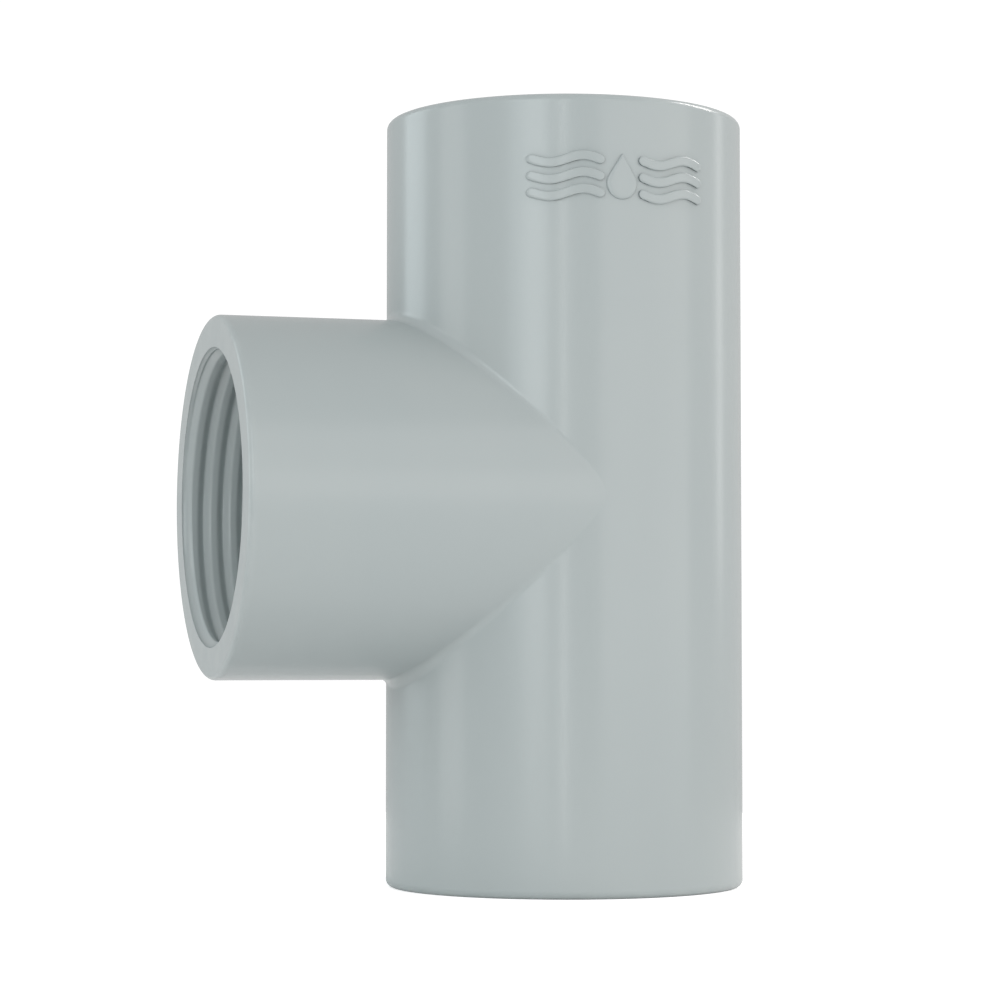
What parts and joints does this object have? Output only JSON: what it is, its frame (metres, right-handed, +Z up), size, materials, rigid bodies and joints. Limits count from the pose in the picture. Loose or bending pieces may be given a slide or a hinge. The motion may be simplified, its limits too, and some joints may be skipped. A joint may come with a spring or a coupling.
{
  "type": "pipe tee fitting",
  "caption": "Grey moulded plastic pipe tee with two slip sockets in line and an internally threaded branch at right angles.",
  "frame": {"origin": "centre of the lower socket's mouth, on the run's axis, at the level the fitting stands on", "axes": "+Z up along the run, from the lower socket to the upper socket. The branch points along -X at half height. The raised mark is on the -Y side of the upper socket."},
  "size_m": [0.062, 0.0414, 0.0882],
  "materials": {
    "grey_pvc": "moulded rigid PVC, cool light grey, soft satin gloss"
  },
  "bodies": {
    "root": {"lower_socket": "grey_pvc", "upper_socket": "grey_pvc", "junction_body": "grey_pvc", "branch_hub": "grey_pvc", "branch_thread": "grey_pvc", "raised_mark": "grey_pvc"}
  },
  "joints": []
}
